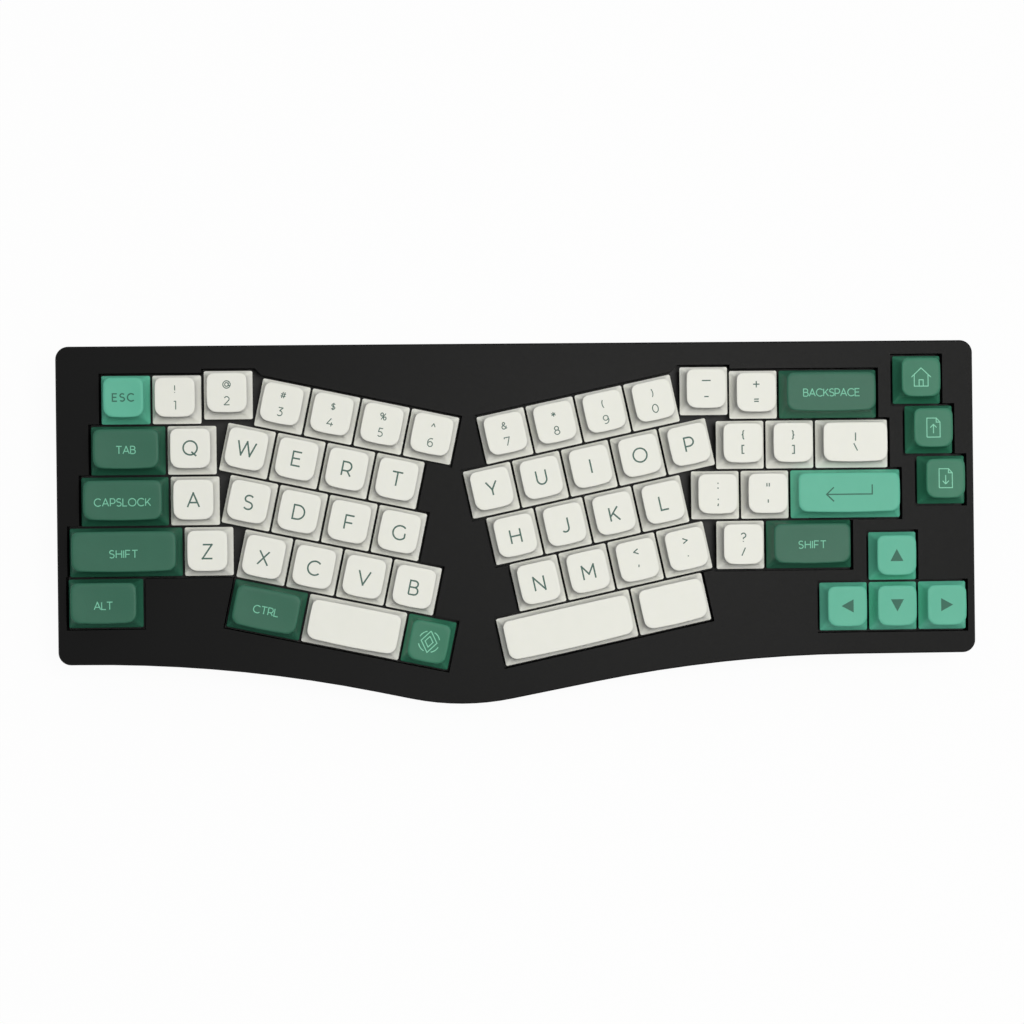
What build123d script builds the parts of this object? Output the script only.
from build123d import *
import os
from math import atan2, cos, degrees, radians, sin

# An ergonomic keyboard in one case. Two letter blocks are turned towards each other,
# straight keys stand at both sides, and the deck slopes down to the typist.
# Millimetres. Z points up, X to the typist's right, Y to the back.
# The origin is the middle of the footprint, on the table.

# Key field
PITCH = 19.05  # middle to middle of two neighbouring keys
TYPING_ANGLE = 6.0  # slope of the deck
BLOCK_ANGLE = 12.0  # turn of each letter block

# Keycaps, on stems that slide in the switch housings
CAP_GAP = 0.85  # between two neighbouring caps
CAP_HEIGHT = 9.0
CAP_LIFT = 6.2  # foot of a cap above the switch plate
CAP_SIDE_LEAN = 2.25  # how far each side leans in from foot to crown
CAP_FRONT_LEAN = 2.5
CAP_BACK_LEAN = 1.5
CAP_WALL = 1.5
CAP_DISH = 0.35  # depth of the hollow that the fingertip finds
FOOT_CORNER = 0.8
CROWN_CORNER = 2.6
KEY_TRAVEL = 3.8
PRESS_ROOM = 0.4  # kept free below everything that a pressed key brings down
STEM_WIDTH = 4.0
STEM_LENGTH = 9.0
STEM_PLAY = 0.3  # round the stem in its housing
STEM_SEAT = 0.1  # between the stem's top and the cap's ceiling

# Switch housings
HOUSING_TOP = 6.0  # above the plate
HOUSING_BASE = 15.4
HOUSING_CROWN = 11.4
HOUSING_BODY = 13.8  # the part that goes through the plate
BODY_DEPTH = 5.0  # plate top to circuit board

# Stabilisers of the long keys
GUIDE_REACH = 11.94  # slider to key middle
GUIDE_WIDTH = 6.6
GUIDE_DEPTH = 12.2
GUIDE_TOP = 3.6  # above the plate
GUIDE_WALL = 1.0
SLIDER_LENGTH = 10.2
WIRE_DIAMETER = 1.6
WIRE_SIDES = 8  # flats that stand for its round section
WIRE_PLAY = 0.2
WIRE_REACH = 8.75  # bar of the wire in front of the key's middle
WIRE_TAIL = 1.8  # how far the arms pass the sliders' middles

# Plate and circuit board
PLATE_THICKNESS = 1.5  # also how far the seam of the two shells lies below its top
CUTOUT = 14.0  # square seat of a switch
CUTOUT_PLAY = 0.1  # round a stabiliser housing
BOARD_THICKNESS = 1.6
BOARD_PLAY = 0.7  # to the tray wall
PLATE_PLAY = 0.5  # to the bezel wall
CHIP_WIDTH = 9.0
CHIP_HEIGHT = 1.2

# Case
BEZEL_TOP = 7.0  # above the plate
KEY_CLEARANCE = 0.9  # round the caps in the bezel
TOP_WALL = 2.5
TRAY_WALL = 3.5
FLOOR = 3.0
LEFT_RIM = 4.1  # outermost key to case edge
RIGHT_RIM = 3.65
BACK_RIM = 6.0
FRONT_RIM = 9.1
NOSE_RIM = 14.8  # lowest thumb corner to where the two front slopes would meet
FRONT_HEIGHT = 18.0  # case height under the nose, without the feet
CORNER_RADIUS = 4.8
KNEE_RADIUS = 535.0  # long sweep of the front edge on each side
NOSE_RADIUS = 96.0
TOP_EDGE = 0.6  # chamfer round the bezel
SEAM_EDGE = 0.4  # chamfer of the tray at the seam
BOTTOM_EDGE = 1.0

# Fasteners and feet
BOSS_DIAMETER = 7.0  # stands in the tray up to the plate, which it clamps to the bezel
BOSS_PLAY = 0.6  # round a boss in the circuit board
CASE_SCREW = 2.5
CASE_HEAD = 4.5
CASE_HEAD_HEIGHT = 2.5
CASE_SCREW_GRIP = 6.5  # head seat below the plate
CASE_SCREW_BITE = 3.5  # thread in the bezel
HOLE_PLAY = 0.1  # round a screw
BLIND_PLAY = 1.0  # hole past a screw's tip
FOOT_HEIGHT = 2.0
FOOT_LENGTH = 34.0
FOOT_WIDTH = 10.0
FOOT_RECESS = 0.4
FOOT_INSET = 13.0  # case edge to foot's middle
FOOT_SIDE_PLAY = 0.1

# Port
PORT_WIDTH = 8.94
PORT_HEIGHT = 3.26
PORT_LENGTH = 7.35
PORT_SHELL = 0.3
PORT_RADIUS = 1.2
PORT_RECESS = 0.4  # mouth behind the case's outer face
PORT_PLAY = 0.25
PORT_TONGUE = 0.7
PORT_WALL = 2.0  # tray wall thinned behind the port
PORT_POCKET = 14.0

CUT = 60.0  # overrun of every tool that cuts right through

# Where the blocks of keys start, in pitches from the number row's line, and their turn
BLOCK_SHARES = {
    "straight": (0.0, 0.0, 0.0),
    "left": (-4.578, 0.153, -1.0),
    "right": (-0.175, 0.771, 1.0),
}

# Each key: its block, its column and row in that block, and its width, all in pitches
KEY_SHARES = {
    "escape": ("straight", -7.65, 0.0, 1.0),
    "one": ("straight", -6.65, 0.0, 1.0),
    "two": ("straight", -5.64, -0.082, 1.0),
    "tab": ("straight", -7.612, 1.0, 1.5),
    "q": ("straight", -6.362, 1.0, 1.0),
    "capitals": ("straight", -7.686, 2.0, 1.75),
    "a": ("straight", -6.311, 2.0, 1.0),
    "left_shift": ("straight", -7.675, 3.0, 2.25),
    "z": ("straight", -6.05, 3.0, 1.0),
    "alternate": ("straight", -8.078, 4.0, 1.5),
    "three": ("left", 0.0, 0.0, 1.0),
    "four": ("left", 1.0, 0.0, 1.0),
    "five": ("left", 2.0, 0.0, 1.0),
    "six": ("left", 3.0, 0.0, 1.0),
    "w": ("left", -0.5, 1.0, 1.0),
    "e": ("left", 0.5, 1.0, 1.0),
    "r": ("left", 1.5, 1.0, 1.0),
    "t": ("left", 2.5, 1.0, 1.0),
    "s": ("left", -0.25, 2.0, 1.0),
    "d": ("left", 0.75, 2.0, 1.0),
    "f": ("left", 1.75, 2.0, 1.0),
    "g": ("left", 2.75, 2.0, 1.0),
    "x": ("left", 0.25, 3.0, 1.0),
    "c": ("left", 1.25, 3.0, 1.0),
    "v": ("left", 2.25, 3.0, 1.0),
    "b": ("left", 3.25, 3.0, 1.0),
    "control": ("left", 0.5, 4.0, 1.5),
    "left_space": ("left", 2.25, 4.0, 2.0),
    "left_thumb": ("left", 3.75, 4.0, 1.0),
    "seven": ("right", 0.0, 0.0, 1.0),
    "eight": ("right", 1.0, 0.0, 1.0),
    "nine": ("right", 2.0, 0.0, 1.0),
    "zero": ("right", 3.0, 0.0, 1.0),
    "y": ("right", -0.5, 1.0, 1.0),
    "u": ("right", 0.5, 1.0, 1.0),
    "i": ("right", 1.5, 1.0, 1.0),
    "o": ("right", 2.5, 1.0, 1.0),
    "p": ("right", 3.5, 1.0, 1.0),
    "h": ("right", -0.25, 2.0, 1.0),
    "j": ("right", 0.75, 2.0, 1.0),
    "k": ("right", 1.75, 2.0, 1.0),
    "l": ("right", 2.75, 2.0, 1.0),
    "n": ("right", 0.0, 3.0, 1.0),
    "m": ("right", 1.0, 3.0, 1.0),
    "comma": ("right", 2.0, 3.0, 1.0),
    "period": ("right", 3.0, 3.0, 1.0),
    "right_space": ("right", 0.375, 4.0, 2.75),
    "right_thumb": ("right", 2.5, 4.0, 1.5),
    "minus": ("straight", 3.804, -0.081, 1.0),
    "equal": ("straight", 4.8, 0.0, 1.0),
    "backspace": ("straight", 6.3, 0.0, 2.0),
    "left_bracket": ("straight", 4.523, 1.0, 1.0),
    "right_bracket": ("straight", 5.523, 1.0, 1.0),
    "backslash": ("straight", 6.773, 1.0, 1.5),
    "semicolon": ("straight", 4.013, 2.0, 1.0),
    "quote": ("straight", 5.013, 2.0, 1.0),
    "enter": ("straight", 6.638, 2.0, 2.25),
    "slash": ("straight", 4.51, 3.0, 1.0),
    "right_shift": ("straight", 5.885, 3.0, 1.75),
    "side_upper": ("straight", 8.103, -0.27, 1.0),
    "side_middle": ("straight", 8.34, 0.73, 1.0),
    "side_lower": ("straight", 8.575, 1.74, 1.0),
    "up": ("straight", 7.575, 3.256, 1.0),
    "left": ("straight", 6.575, 4.256, 1.0),
    "down": ("straight", 7.575, 4.256, 1.0),
    "right": ("straight", 8.575, 4.256, 1.0),
}

# Nodes that hold two keys. Every other key is a node of its own.
KEY_PAIRS = [
    ("three", "four"),
    ("five", "six"),
    ("seven", "eight"),
    ("nine", "zero"),
    ("minus", "equal"),
    ("w", "e"),
    ("r", "t"),
    ("y", "u"),
    ("i", "o"),
    ("left_bracket", "right_bracket"),
    ("s", "d"),
    ("f", "g"),
    ("k", "l"),
    ("semicolon", "quote"),
    ("x", "c"),
    ("v", "b"),
    ("comma", "period"),
]

# Long keys that need a stabiliser
STABILISED = ["left_shift", "left_space", "right_space", "backspace", "enter"]

# Keys that share an opening of the bezel
ARROW_GROUP = ["up", "left", "down", "right"]
SIDE_GROUP = ["side_upper", "side_middle", "side_lower"]
LEFT_GROUP = [
    key
    for key, (block, column_share, row_share, width_share) in KEY_SHARES.items()
    if block == "left" or (block == "straight" and column_share < 0)
]
RIGHT_GROUP = [key for key in KEY_SHARES if key not in LEFT_GROUP + ARROW_GROUP + SIDE_GROUP]

# Keys round each open bay between a straight column and a turned block, in order,
# and the pairs of keys that close the bay at its back and at its front
LEFT_BAY = ["one", "two", "three", "w", "s", "x", "z", "a", "q"]
RIGHT_BAY = ["zero", "minus", "equal", "left_bracket", "semicolon", "slash", "period", "l", "p"]
LEFT_BAY_ENDS = [("two", "three"), ("z", "x")]
RIGHT_BAY_ENDS = [("zero", "minus"), ("period", "slash")]

# Screws and chip, in pitches from the middle of the number row
CASE_SCREW_SHARES = [
    (-8.62, -0.62),
    (-0.9, -0.35),
    (6.3, -0.79),
    (-6.6, 4.68),
    (-0.75, 5.35),
    (5.0, 4.72),
]
CHIP_SHARE = (-1.1, 1.7)

# Corners of the front edge: the nose, in pitches from the thumb key's corner, and the
# knees, in case widths from the middle
NOSE_SHARE = 0.29
LEFT_KNEE_SHARE = -0.317
RIGHT_KNEE_SHARE = 0.22

os.makedirs("parts", exist_ok=True)


def key_location(key):
    """A key's middle on the deck, turned with its block."""
    block, column_share, row_share, width_share = KEY_SHARES[key]
    block_x_share, block_y_share, turn = BLOCK_SHARES[block]
    corner = Pos(block_x_share * PITCH, -block_y_share * PITCH)
    return corner * Rot(0, 0, turn * BLOCK_ANGLE) * Pos(column_share * PITCH, -row_share * PITCH)


def cap_width(key):
    return KEY_SHARES[key][3] * PITCH - CAP_GAP


def cap_corners(key, margin=0.0):
    """The corners of a key's foot on the deck, front left first, counted anticlockwise."""
    half_width = cap_width(key) / 2 + margin
    half_depth = CAP_DEPTH / 2 + margin
    signs = [(-1, -1), (1, -1), (1, 1), (-1, 1)]
    return [(key_location(key) * Pos(sx * half_width, sy * half_depth)).position for sx, sy in signs]


def deck_points(shares):
    return [(x_share * PITCH, -y_share * PITCH) for x_share, y_share in shares]


CAP_DEPTH = PITCH - CAP_GAP
ALL_CORNERS = [corner for key in KEY_SHARES for corner in cap_corners(key)]

# The case outline wraps the key field
LEFT_EDGE = min(corner.X for corner in ALL_CORNERS) - LEFT_RIM
RIGHT_EDGE = max(corner.X for corner in ALL_CORNERS) + RIGHT_RIM
BACK_EDGE = max(corner.Y for corner in ALL_CORNERS) + BACK_RIM
FRONT_EDGE = min(corner.Y for corner in cap_corners("right")) - FRONT_RIM
THUMB_CORNER = cap_corners("left_thumb")[1]
NOSE_EDGE = THUMB_CORNER.Y - NOSE_RIM
NOSE_X = THUMB_CORNER.X + NOSE_SHARE * PITCH
CASE_WIDTH = RIGHT_EDGE - LEFT_EDGE
CASE_MIDDLE = (RIGHT_EDGE + LEFT_EDGE) / 2
LEFT_KNEE_X = CASE_MIDDLE + LEFT_KNEE_SHARE * CASE_WIDTH
RIGHT_KNEE_X = CASE_MIDDLE + RIGHT_KNEE_SHARE * CASE_WIDTH

# The front edge falls to the nose from both knees, and the nose's arc cuts its corner off
LEFT_FALL = atan2(FRONT_EDGE - NOSE_EDGE, NOSE_X - LEFT_KNEE_X)
RIGHT_FALL = atan2(FRONT_EDGE - NOSE_EDGE, RIGHT_KNEE_X - NOSE_X)
NOSE_SAG = NOSE_RADIUS * (cos((LEFT_FALL - RIGHT_FALL) / 2) / cos((LEFT_FALL + RIGHT_FALL) / 2) - 1)

# Angles of the leaning sides
CAP_TAPER = degrees(atan2(CAP_SIDE_LEAN, CAP_HEIGHT))
HOUSING_TAPER = degrees(atan2((HOUSING_BASE - HOUSING_CROWN) / 2, HOUSING_TOP))

# Heights above the plate
STEM_TOP = HOUSING_TOP + KEY_TRAVEL + PRESS_ROOM
HOLLOW_DEPTH = STEM_TOP + STEM_SEAT - CAP_LIFT
STEM_FOOT = STEM_TOP - STEM_LENGTH
SLIDER_FOOT = STEM_TOP - SLIDER_LENGTH
BAR_HEIGHT = WIRE_DIAMETER / 2 + WIRE_PLAY
TIP_HEIGHT = BAR_HEIGHT + KEY_TRAVEL / 2
WIRE_SLOPE = (TIP_HEIGHT - BAR_HEIGHT) / (WIRE_REACH + WIRE_TAIL)
SEAM = -PLATE_THICKNESS
HEAD_SEAT = SEAM - CASE_SCREW_GRIP
BOARD_BOTTOM = -BODY_DEPTH - BOARD_THICKNESS

# The deck is the plane of the plate's top. It is placed so that the case stands on its
# feet and its footprint is centred.
SLOPE = radians(TYPING_ANGLE)
FRONT_POINT = NOSE_EDGE + NOSE_SAG
DECK_Z = FOOT_HEIGHT + FRONT_HEIGHT - FRONT_POINT * sin(SLOPE) - BEZEL_TOP * cos(SLOPE)
BACK_DROP = (FOOT_HEIGHT - DECK_Z - BACK_EDGE * sin(SLOPE)) / cos(SLOPE)
FRONT_Y = FRONT_POINT * cos(SLOPE) - BEZEL_TOP * sin(SLOPE)
BACK_Y = BACK_EDGE * cos(SLOPE) - BACK_DROP * sin(SLOPE)
DECK = Plane(
    origin=(-CASE_MIDDLE, -(FRONT_Y + BACK_Y) / 2, DECK_Z),
    x_dir=(1, 0, 0),
    z_dir=(0, -sin(SLOPE), cos(SLOPE)),
)
DECK_AXIS = Axis(DECK.origin, DECK.z_dir)

# The port's plane is the tray's outer back face, its middle just below the board
PORT_MIDDLE = Pos(CASE_MIDDLE, BACK_EDGE, BOARD_BOTTOM - PORT_HEIGHT / 2)
PORT_PLANE = Plane(DECK.location * PORT_MIDDLE * Rot(-90, 0, 0))

# The feet stand near the four corners of the tray's underside
FOOT_X = CASE_WIDTH / 2 - FOOT_INSET - FOOT_LENGTH / 2
FOOT_BACK_Y = (BACK_Y - FRONT_Y) / 2 - FOOT_INSET
FOOT_FRONT_Y = DECK.origin.Y + FRONT_EDGE * cos(SLOPE) + FOOT_INSET
FOOT_POINTS = [(sx * FOOT_X, y) for sx in (-1, 1) for y in (FOOT_BACK_Y, FOOT_FRONT_Y)]


OUTLINE_RADII = [
    CORNER_RADIUS,
    CORNER_RADIUS,
    KNEE_RADIUS,
    NOSE_RADIUS,
    KNEE_RADIUS,
    CORNER_RADIUS,
    CORNER_RADIUS,
]


def on_deck(key):
    """A key's middle in the whole model."""
    return DECK.location * key_location(key)


def case_outline(inset=0.0):
    """Adds the case's outline, drawn in by inset, to the sketch that is open."""
    with BuildLine() as outline:
        FilletPolyline(
            (LEFT_EDGE, BACK_EDGE),
            (LEFT_EDGE, FRONT_EDGE),
            (LEFT_KNEE_X, FRONT_EDGE),
            (NOSE_X, NOSE_EDGE),
            (RIGHT_KNEE_X, FRONT_EDGE),
            (RIGHT_EDGE, FRONT_EDGE),
            (RIGHT_EDGE, BACK_EDGE),
            radius=OUTLINE_RADII,
            close=True,
        )
    make_face(outline.edges())
    if inset:
        offset(amount=-inset)


def key_opening(group, bay=(), bay_ends=()):
    """Adds the outline of a bezel opening round a group of keys to the open sketch."""
    for key in group:
        with Locations(key_location(key)):
            Rectangle(cap_width(key) + 2 * KEY_CLEARANCE, CAP_DEPTH + 2 * KEY_CLEARANCE)
    if bay:
        Polygon(*[tuple(key_location(key).position)[:2] for key in bay], align=None)
    for left_key, right_key in bay_ends:
        left_corners = cap_corners(left_key, KEY_CLEARANCE)
        right_corners = cap_corners(right_key, KEY_CLEARANCE)
        with BuildLine() as bay_end:
            Line(left_corners[1], left_corners[2])
            Line(right_corners[0], right_corners[3])
        make_hull(bay_end.edges())


def holes_at(shares, diameter, mode=Mode.ADD):
    """Puts a circle at each of the given places into the open sketch."""
    with Locations(*deck_points(shares)):
        Circle(diameter / 2, mode=mode)


def rubber_feet_outline(play):
    """Adds the outlines of the four feet, drawn in by play, to the open sketch."""
    with Locations(*FOOT_POINTS):
        SlotOverall(FOOT_LENGTH - 2 * play, FOOT_WIDTH - 2 * play)


def save(part, name):
    part.label = name
    export_step(part, f"parts/{name}.step")


def cut_rectangle(width, depth, corner, height=0.0, shift=0.0):
    """The eight points of a rectangle with its corners cut off, raised and moved back."""
    quarter = [(width / 2, depth / 2 - corner), (width / 2 - corner, depth / 2)]
    return [(sx * x, sy * y + shift, height) for sx in (-1, 1) for sy in (-1, 1) for x, y in quarter]


def keycap(width):
    """A hollow keycap with leaning sides and a dished crown. Its foot lies at Z = 0."""
    crown_width = width - 2 * CAP_SIDE_LEAN
    crown_depth = CAP_DEPTH - CAP_FRONT_LEAN - CAP_BACK_LEAN
    crown_shift = (CAP_FRONT_LEAN - CAP_BACK_LEAN) / 2
    foot = cut_rectangle(width, CAP_DEPTH, FOOT_CORNER)
    crown = cut_rectangle(crown_width, crown_depth, CROWN_CORNER, CAP_HEIGHT, crown_shift)
    with BuildPart() as cap:
        ConvexPolyhedron(foot + crown)
        with BuildSketch():
            Rectangle(width - 2 * CAP_WALL, CAP_DEPTH - 2 * CAP_WALL)
        extrude(amount=HOLLOW_DEPTH, taper=CAP_TAPER, mode=Mode.SUBTRACT)
        # The dish is cut by a wide cylinder that lies from front to back
        dish_radius = (crown_width**2 / 4 + CAP_DISH**2) / (2 * CAP_DISH)
        with BuildSketch(Plane.XZ):
            with Locations((0, CAP_HEIGHT - CAP_DISH + dish_radius)):
                Circle(dish_radius)
        extrude(amount=CAP_DEPTH, both=True, mode=Mode.SUBTRACT)
    return cap.part


def switch_stem():
    """The slider of a switch. Z = 0 is the plate's top."""
    with BuildPart() as stem:
        with BuildSketch(Plane.XY.offset(STEM_FOOT)):
            Rectangle(STEM_WIDTH, STEM_WIDTH)
        extrude(amount=STEM_LENGTH)
    return stem.part


def stabiliser_slider():
    """The slider at one end of a long key, with the window that its wire runs through."""
    window_width = WIRE_DIAMETER + 4 * WIRE_PLAY
    window_height = window_width + WIRE_SLOPE * STEM_WIDTH + KEY_TRAVEL
    window_foot = BAR_HEIGHT + WIRE_SLOPE * (WIRE_REACH - STEM_WIDTH / 2) - window_width / 2
    with BuildPart() as slider:
        with BuildSketch(Plane.XY.offset(SLIDER_FOOT)):
            Rectangle(STEM_WIDTH, STEM_WIDTH)
        extrude(amount=SLIDER_LENGTH)
        with BuildSketch(Plane.XZ):
            with Locations((0, window_foot)):
                Rectangle(window_width, window_height, align=(Align.CENTER, Align.MIN))
        extrude(amount=STEM_WIDTH, both=True, mode=Mode.SUBTRACT)
    return slider.part


def switch_housing():
    """A switch's housing: the body goes through the plate, the flange stands on it."""
    pocket = STEM_WIDTH + 2 * STEM_PLAY
    with BuildPart() as housing:
        with BuildSketch(Plane.XY.offset(-BODY_DEPTH)):
            Rectangle(HOUSING_BODY, HOUSING_BODY)
        extrude(amount=BODY_DEPTH)
        with BuildSketch():
            Rectangle(HOUSING_BASE, HOUSING_BASE)
        extrude(amount=HOUSING_TOP, taper=HOUSING_TAPER)
        with BuildSketch(Plane.XY.offset(HOUSING_TOP)):
            Rectangle(pocket, pocket)
        extrude(amount=STEM_FOOT - KEY_TRAVEL - PRESS_ROOM - HOUSING_TOP, mode=Mode.SUBTRACT)
    return housing.part


def stabiliser_housing():
    """A stabiliser's housing: a channel open at the front, where the wire's arm swings."""
    with BuildPart() as housing:
        with BuildSketch(Plane.XY.offset(-BODY_DEPTH)):
            Rectangle(GUIDE_WIDTH, GUIDE_DEPTH)
        extrude(amount=BODY_DEPTH + GUIDE_TOP)
        with BuildSketch(Plane.XY.offset(SLIDER_FOOT - KEY_TRAVEL - PRESS_ROOM)):
            with Locations((0, -GUIDE_WALL)):
                Rectangle(GUIDE_WIDTH - 2 * GUIDE_WALL, GUIDE_DEPTH)
        extrude(amount=CUT, mode=Mode.SUBTRACT)
    return housing.part


def stabiliser_wire():
    """The bent steel wire that keeps both ends of a long key level."""
    with BuildPart() as wire:
        with BuildLine() as route:
            Polyline(
                (-GUIDE_REACH, WIRE_TAIL, TIP_HEIGHT),
                (-GUIDE_REACH, -WIRE_REACH, BAR_HEIGHT),
                (GUIDE_REACH, -WIRE_REACH, BAR_HEIGHT),
                (GUIDE_REACH, WIRE_TAIL, TIP_HEIGHT),
            )
        with BuildSketch(Plane(origin=route.line @ 0, z_dir=route.line % 0)):
            RegularPolygon(WIRE_DIAMETER / 2, WIRE_SIDES)
        sweep(transition=Transition.RIGHT)
    return wire.part


def guides(key):
    """Where the two stabiliser sliders of a long key stand, from the key's middle."""
    return [on_deck(key) * Pos(side * GUIDE_REACH, 0) for side in (-1, 1)]


# Bezel shell: thick between the openings, with a recess below that takes the plate
with BuildPart() as case_top:
    with BuildSketch(DECK.offset(SEAM)):
        case_outline()
    extrude(amount=PLATE_THICKNESS + BEZEL_TOP)
    chamfer(case_top.faces().sort_by(DECK_AXIS)[-1].edges(), TOP_EDGE)
    with BuildSketch(DECK.offset(SEAM)):
        case_outline(TOP_WALL)
    extrude(amount=PLATE_THICKNESS, mode=Mode.SUBTRACT)
    with BuildSketch(DECK.offset(BEZEL_TOP)):
        key_opening(LEFT_GROUP, LEFT_BAY, LEFT_BAY_ENDS)
        key_opening(RIGHT_GROUP, RIGHT_BAY, RIGHT_BAY_ENDS)
        key_opening(SIDE_GROUP)
        key_opening(ARROW_GROUP)
    extrude(amount=-BEZEL_TOP, mode=Mode.SUBTRACT)
    with BuildSketch(DECK):
        holes_at(CASE_SCREW_SHARES, CASE_SCREW + 2 * HOLE_PLAY)
    extrude(amount=CASE_SCREW_BITE + BLIND_PLAY, mode=Mode.SUBTRACT)
save(case_top.part, "case_top")

# Hollow of the tray: everything above its floor, except the bosses
with BuildPart() as tray_hollow:
    with BuildSketch(DECK.offset(SEAM)):
        case_outline(TRAY_WALL)
    extrude(amount=-CUT)
    split(bisect_by=Plane.XY.offset(FOOT_HEIGHT + FLOOR), keep=Keep.TOP)
    with BuildSketch(DECK.offset(SEAM)):
        holes_at(CASE_SCREW_SHARES, BOSS_DIAMETER)
    extrude(amount=-CUT, mode=Mode.SUBTRACT)

# Tray: the wedge that gives the deck its slope
with BuildPart() as case_bottom:
    with BuildSketch(DECK.offset(SEAM)):
        case_outline()
    extrude(amount=-CUT)
    split(bisect_by=Plane.XY.offset(FOOT_HEIGHT), keep=Keep.TOP)
    chamfer(case_bottom.faces().sort_by(DECK_AXIS)[-1].edges(), SEAM_EDGE)
    chamfer(case_bottom.faces().sort_by(Axis.Z)[0].edges(), BOTTOM_EDGE)
    add(tray_hollow.part, mode=Mode.SUBTRACT)
    with BuildSketch(DECK.offset(SEAM)):
        holes_at(CASE_SCREW_SHARES, CASE_SCREW + 2 * HOLE_PLAY)
    extrude(amount=-CASE_SCREW_GRIP, mode=Mode.SUBTRACT)
    with BuildSketch(DECK.offset(HEAD_SEAT)):
        holes_at(CASE_SCREW_SHARES, CASE_HEAD + 2 * HOLE_PLAY)
    extrude(amount=-CUT, mode=Mode.SUBTRACT)
    with BuildSketch(Plane.XY.offset(FOOT_HEIGHT)):
        rubber_feet_outline(0.0)
    extrude(amount=FOOT_RECESS, mode=Mode.SUBTRACT)
    with BuildSketch(PORT_PLANE):
        RectangleRounded(
            PORT_WIDTH + 2 * PORT_PLAY,
            PORT_HEIGHT + 2 * PORT_PLAY,
            PORT_RADIUS + PORT_PLAY,
        )
    extrude(amount=TRAY_WALL, both=True, mode=Mode.SUBTRACT)
    with BuildSketch(PORT_PLANE.offset(-PORT_WALL)):
        Rectangle(PORT_POCKET, PORT_HEIGHT + 2 * PORT_WALL)
    extrude(amount=-(TRAY_WALL - PORT_WALL), mode=Mode.SUBTRACT)
save(case_bottom.part, "case_bottom")

# Screws put in from below, through the tray's bosses and the plate into the bezel
with BuildPart() as case_screws:
    with BuildSketch(DECK.offset(HEAD_SEAT)):
        holes_at(CASE_SCREW_SHARES, CASE_HEAD)
    extrude(amount=-CASE_HEAD_HEIGHT)
    with BuildSketch(DECK.offset(HEAD_SEAT)):
        holes_at(CASE_SCREW_SHARES, CASE_SCREW)
    extrude(amount=CASE_SCREW_GRIP + PLATE_THICKNESS + CASE_SCREW_BITE)
save(case_screws.part, "case_screws")

# Feet, seated in shallow recesses of the tray
with BuildPart() as rubber_feet:
    with BuildSketch():
        rubber_feet_outline(FOOT_SIDE_PLAY)
    extrude(amount=FOOT_HEIGHT + FOOT_RECESS)
save(rubber_feet.part, "rubber_feet")

# Plate that the switches clip into
with BuildPart() as switch_plate:
    with BuildSketch(DECK.offset(SEAM)):
        case_outline(TOP_WALL + PLATE_PLAY)
        with Locations(*[key_location(key) for key in KEY_SHARES]):
            Rectangle(CUTOUT, CUTOUT, mode=Mode.SUBTRACT)
        for key in STABILISED:
            with Locations(*[key_location(key) * Pos(side * GUIDE_REACH, 0) for side in (-1, 1)]):
                Rectangle(
                    GUIDE_WIDTH + 2 * CUTOUT_PLAY,
                    GUIDE_DEPTH + 2 * CUTOUT_PLAY,
                    mode=Mode.SUBTRACT,
                )
        holes_at(CASE_SCREW_SHARES, CASE_SCREW + 2 * HOLE_PLAY, Mode.SUBTRACT)
    extrude(amount=PLATE_THICKNESS)
save(switch_plate.part, "switch_plate")

# Circuit board, hung from the switches that are soldered to it
with BuildPart() as circuit_board:
    with BuildSketch(DECK.offset(BOARD_BOTTOM)):
        case_outline(TRAY_WALL + BOARD_PLAY)
        holes_at(CASE_SCREW_SHARES, BOSS_DIAMETER + 2 * BOSS_PLAY, Mode.SUBTRACT)
    extrude(amount=BOARD_THICKNESS)
save(circuit_board.part, "circuit_board")

# Controller chip on the board's underside
with BuildPart() as controller_chip:
    with BuildSketch(DECK.offset(BOARD_BOTTOM)):
        with Locations(*deck_points([CHIP_SHARE])):
            Rectangle(CHIP_WIDTH, CHIP_WIDTH)
    extrude(amount=-CHIP_HEIGHT)
save(controller_chip.part, "controller_chip")

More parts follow.
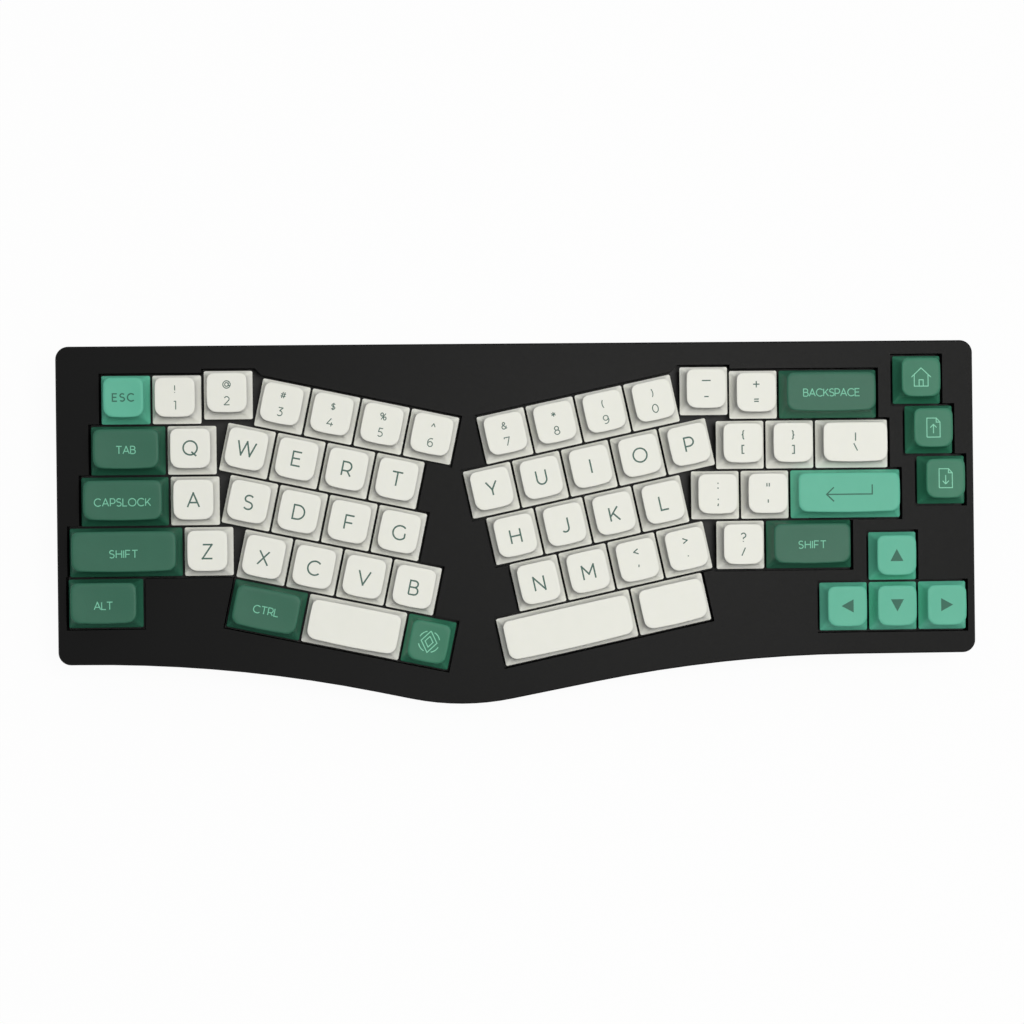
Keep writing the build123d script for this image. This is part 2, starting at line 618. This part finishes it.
# Port socket on the board's underside, its mouth in the back wall
with BuildPart() as port_socket:
    with BuildSketch(PORT_PLANE.offset(-PORT_RECESS)):
        RectangleRounded(PORT_WIDTH, PORT_HEIGHT, PORT_RADIUS)
    extrude(amount=-PORT_LENGTH)
    with BuildSketch(PORT_PLANE.offset(-PORT_RECESS)):
        RectangleRounded(
            PORT_WIDTH - 2 * PORT_SHELL,
            PORT_HEIGHT - 2 * PORT_SHELL,
            PORT_RADIUS - PORT_SHELL,
        )
    extrude(amount=-PORT_LENGTH + PORT_WALL, mode=Mode.SUBTRACT)
    with BuildSketch(PORT_PLANE.offset(-PORT_LENGTH - PORT_RECESS)):
        Rectangle(PORT_WIDTH - 2 * PORT_RADIUS, PORT_TONGUE)
    extrude(amount=PORT_LENGTH - PORT_TONGUE)
save(port_socket.part, "port_socket")

# The repeated pieces, made once and placed at each key
housing = switch_housing()
stem = switch_stem()
guide = stabiliser_housing()
slider = stabiliser_slider()
wire = stabiliser_wire()
caps = {width: keycap(width) for width in {cap_width(key) for key in KEY_SHARES}}

with BuildPart() as switch_housings:
    with Locations(*[on_deck(key) for key in KEY_SHARES]):
        add(housing)
save(switch_housings.part, "switch_housings")

with BuildPart() as stabiliser_housings:
    for key in STABILISED:
        with Locations(*guides(key)):
            add(guide)
save(stabiliser_housings.part, "stabiliser_housings")

with BuildPart() as stabiliser_wires:
    with Locations(*[on_deck(key) for key in STABILISED]):
        add(wire)
save(stabiliser_wires.part, "stabiliser_wires")

# Each key: its cap and its stem, and on a long key the two sliders
paired_keys = [key for pair in KEY_PAIRS for key in pair]
single_keys = [(key,) for key in KEY_SHARES if key not in paired_keys]
for group in KEY_PAIRS + single_keys:
    with BuildPart() as key_node:
        for key in group:
            with Locations(on_deck(key) * Pos(0, 0, CAP_LIFT)):
                add(caps[cap_width(key)])
            with Locations(on_deck(key)):
                add(stem)
            if key in STABILISED:
                with Locations(*guides(key)):
                    add(slider)
    save(key_node.part, ("key_" if len(group) == 1 else "keys_") + "_".join(group))
